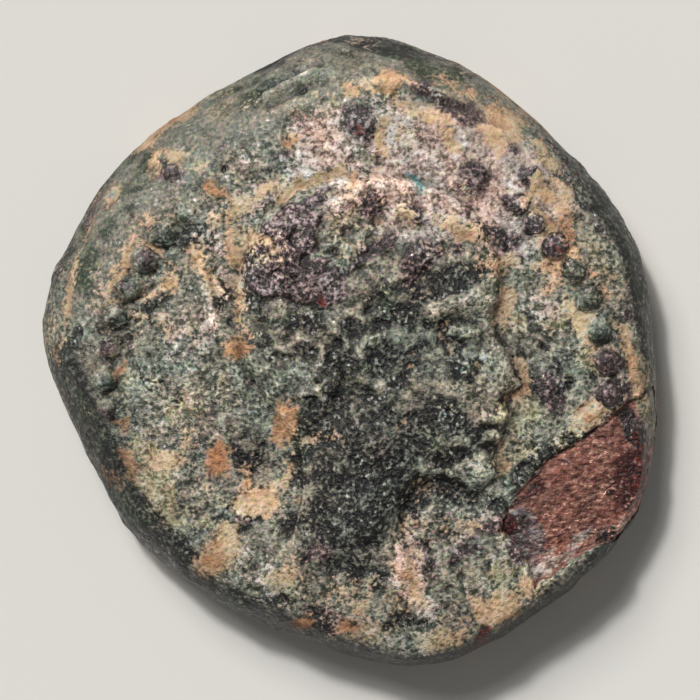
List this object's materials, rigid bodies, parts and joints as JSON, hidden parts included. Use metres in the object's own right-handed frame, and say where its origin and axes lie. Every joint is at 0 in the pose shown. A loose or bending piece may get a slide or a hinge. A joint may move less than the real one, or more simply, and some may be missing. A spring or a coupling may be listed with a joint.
{
  "type": "ancient bronze coin",
  "caption": "Small thick hand-struck coin, irregular and worn, with a profile head in a ring of beads, corroded surfaces and a flake broken from its edge.",
  "frame": {"origin": "under the middle of the coin, on the surface that it lies on", "axes": "+Z out of the obverse, which faces up; +Y from the head's chin to its crown; +X the way the head looks"},
  "size_m": [0.018, 0.0184, 0.0043],
  "materials": {
    "patinated_bronze": "corroded: dull grey green patina with tan earth in the hollows, and bare red brown metal in the chip"
  },
  "bodies": {
    "root": {"coin": "patinated_bronze"}
  },
  "joints": []
}
